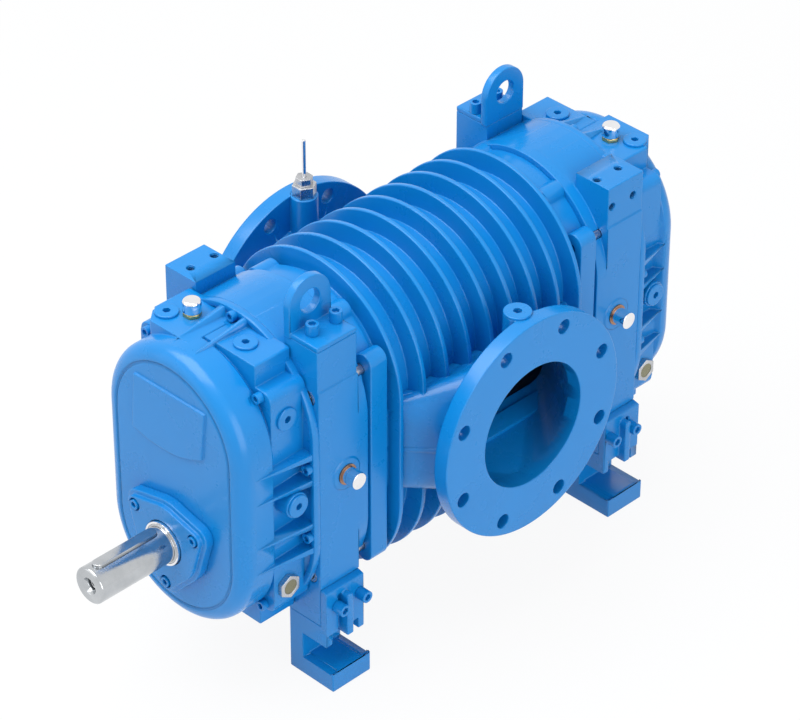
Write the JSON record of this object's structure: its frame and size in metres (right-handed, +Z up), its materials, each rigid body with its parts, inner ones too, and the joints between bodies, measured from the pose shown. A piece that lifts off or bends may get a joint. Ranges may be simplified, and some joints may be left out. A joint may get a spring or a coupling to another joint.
{
  "type": "rotary compressor",
  "caption": "Three-lobe rotary blower with a finned casing between flanged necks, timing gears, oil-lubricated end covers, a keyed drive shaft, feet and lifting eyes",
  "frame": {"origin": "on the floor, in the middle of the four foundation threads of the feet, under the middle of the casing", "axes": "+Z up; Y runs along both shafts with the drive shaft's end at -Y; X crosses the casing from one flanged neck to the other"},
  "size_m": [0.486, 1.012, 0.642],
  "materials": {
    "blue_paint": "semi-gloss bright blue enamel over a cast surface",
    "machined_steel": "turned and ground steel",
    "bright_plating": "bright plated or polished steel",
    "bare_iron": "machined bare cast iron",
    "brass_fittings": "turned brass",
    "copper_washers": "flat copper sealing washer",
    "black_rubber": "black rubber seal",
    "oil_glass": "clear window with oil behind it"
  },
  "bodies": {
    "casing": {"main_casing": "blue_paint", "front_side_plate": "blue_paint", "rear_side_plate": "blue_paint", "front_cover": "blue_paint", "rear_cover": "blue_paint", "seal_cover": "blue_paint", "front_right_foot": "blue_paint", "front_left_foot": "blue_paint", "rear_right_foot": "blue_paint", "rear_left_foot": "blue_paint", "foot_screws": "blue_paint", "front_lifting_eye": "blue_paint", "rear_lifting_eye": "blue_paint", "lifting_eye_screws": "blue_paint", "plate_screws": "machined_steel", "cover_screws": "blue_paint", "seal_cover_screws": "blue_paint", "dowel_pins": "machined_steel", "front_breather_cap": "bright_plating", "rear_breather_cap": "bright_plating", "breather_bases": "brass_fittings", "oil_plugs": "blue_paint", "neck_plug": "blue_paint", "sight_glass_bezels": "machined_steel", "sight_glasses": "oil_glass", "plate_plugs": "bright_plating", "plate_plug_washers": "copper_washers", "sensor_fitting": "machined_steel", "sensor_nut": "machined_steel", "sensor_probe": "bright_plating", "bearing_outer_rings": "machined_steel", "bearing_retainers": "bare_iron", "retainer_screws": "machined_steel", "rotor_seal_bushes": "brass_fittings", "shaft_lip_seal": "black_rubber"},
    "drive_rotor": {"drive_shaft": "machined_steel", "drive_lobe_rotor": "bare_iron", "drive_timing_gear": "machined_steel", "drive_gear_nut": "bare_iron", "drive_bearing_inner_rings": "machined_steel", "drive_front_nut": "bare_iron", "drive_key": "bright_plating", "seal_sleeve": "bright_plating", "oil_slinger": "machined_steel"},
    "driven_rotor": {"driven_shaft": "machined_steel", "driven_lobe_rotor": "bare_iron", "driven_timing_gear": "machined_steel", "driven_gear_nut": "bare_iron", "driven_bearing_inner_rings": "machined_steel", "driven_front_nut": "bare_iron"},
    "drive_roller_sets": {"drive_bearing_rollers": "machined_steel", "drive_bearing_cages": "brass_fittings"},
    "driven_roller_sets": {"driven_bearing_rollers": "machined_steel", "driven_bearing_cages": "brass_fittings"}
  },
  "joints": [
    {"name": "drive_spin", "type": "hinge", "parent": "casing", "child": "drive_rotor", "pos_m": [0, 0, 0.25], "axis": [0, 1, 0], "continuous": true},
    {"name": "driven_spin", "type": "hinge", "parent": "casing", "child": "driven_rotor", "pos_m": [0, 0, 0.415], "axis": [0, 1, 0], "continuous": true},
    {"name": "drive_cage_spin", "type": "hinge", "parent": "casing", "child": "drive_roller_sets", "pos_m": [0, 0, 0.25], "axis": [0, 1, 0], "continuous": true},
    {"name": "driven_cage_spin", "type": "hinge", "parent": "casing", "child": "driven_roller_sets", "pos_m": [0, 0, 0.415], "axis": [0, 1, 0], "continuous": true}
  ],
  "couplings": [
    {"joint": "driven_spin", "follows": "drive_spin", "ratio": -1},
    {"joint": "drive_cage_spin", "follows": "drive_spin", "ratio": 0.4044},
    {"joint": "driven_cage_spin", "follows": "drive_spin", "ratio": -0.4044}
  ]
}
